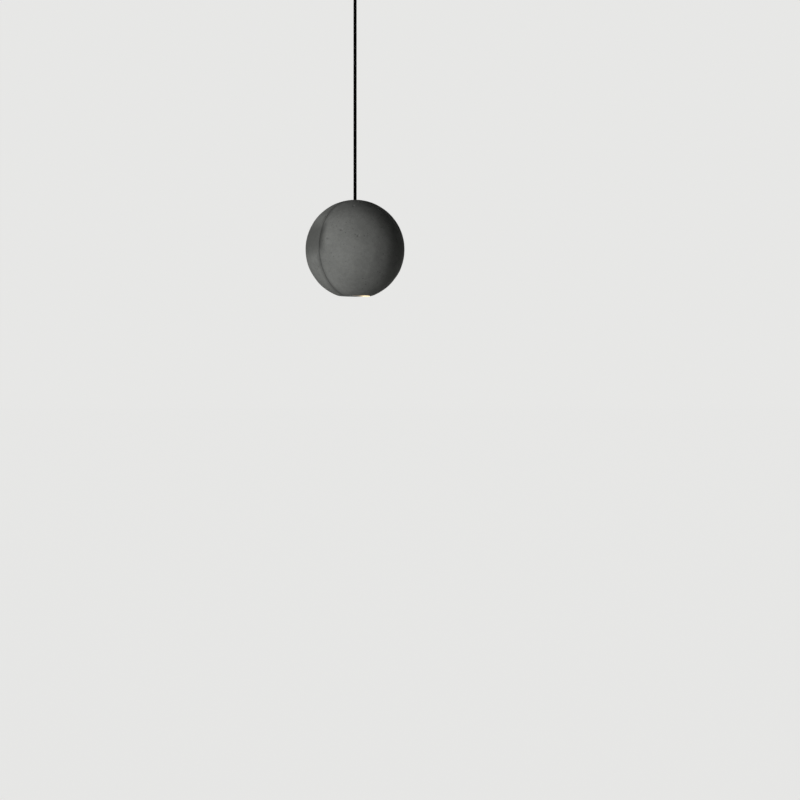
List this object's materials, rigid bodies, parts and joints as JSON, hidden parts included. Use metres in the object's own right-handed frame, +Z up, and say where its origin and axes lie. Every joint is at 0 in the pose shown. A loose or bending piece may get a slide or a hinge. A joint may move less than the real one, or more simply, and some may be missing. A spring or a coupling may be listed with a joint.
{
  "type": "pendant lamp",
  "caption": "Cast concrete ball pendant: two half shells with a half moon light window below, on a black cord from a small ceiling canopy.",
  "frame": {"origin": "centre of the ceiling face, on top of the ceiling plate", "axes": "+Z up into the ceiling; the ball's seam lies in the plane X = 0 and the half with the light window is on the +X side; the picture looks along 45 degrees from the -Y side"},
  "size_m": [0.12, 0.12, 0.4167],
  "materials": {
    "concrete": "cast concrete, matt, fine pores",
    "concrete_dark": "cast concrete, matt, a shade darker",
    "black_cord": "black braided textile jacket",
    "black_steel": "fine matt black powder coat",
    "black_nylon": "moulded black nylon",
    "rubber": "black elastomer",
    "zinc_steel": "zinc plated steel",
    "brass": "turned brass",
    "bare_aluminium": "extruded aluminium",
    "white_plastic": "moulded white plastic",
    "grey_plastic": "moulded grey plastic",
    "white_board": "white solder mask on an aluminium board",
    "lead_jacket": "coloured wire insulation",
    "phosphor": "light chips, lit",
    "frosted_lens": "frosted acrylic, lit from behind"
  },
  "bodies": {
    "ceiling": {"ceiling_plate": "zinc_steel", "earth_screw": "brass", "terminal_block": "white_plastic", "terminal_screws": "brass", "driver_case": "grey_plastic", "driver_screws": "zinc_steel", "mains_leads": "lead_jacket", "canopy": "black_steel", "canopy_screws": "black_steel", "gland_body": "black_nylon", "gland_nut": "zinc_steel", "gland_sleeve": "rubber", "gland_dome": "black_nylon", "canopy_cord": "black_cord"},
    "bend": {"cord_bend": "black_cord"},
    "cord": {"pendant_cord": "black_cord"},
    "ball": {"crown_cap": "black_nylon", "crown_washer": "zinc_steel", "crown_nut": "zinc_steel", "tie_tube": "brass", "inner_cord": "black_cord", "cord_collar": "brass", "collar_screw": "zinc_steel", "carrier_plate": "zinc_steel", "plate_nuts": "zinc_steel", "heat_sink": "bare_aluminium", "sink_screws": "zinc_steel", "light_board": "white_board", "board_screws": "zinc_steel", "light_chips": "phosphor", "board_leads": "lead_jacket", "light_well": "white_plastic", "lens": "frosted_lens", "window_half": "concrete", "plain_half": "concrete_dark", "seam_seal": "rubber", "seam_pins": "zinc_steel"}
  },
  "joints": [
    {"name": "swing_x", "type": "hinge", "parent": "ceiling", "child": "bend", "pos_m": [0, 0, -0.047], "axis": [1, 0, 0], "range_deg": [-20, 20]},
    {"name": "swing_y", "type": "hinge", "parent": "bend", "child": "cord", "pos_m": [0, 0, -0.047], "axis": [0, 1, 0], "range_deg": [-20, 20]},
    {"name": "twist", "type": "hinge", "parent": "cord", "child": "ball", "pos_m": [0, 0, -0.3], "axis": [0, 0, 1], "range_deg": [-180, 180]}
  ]
}
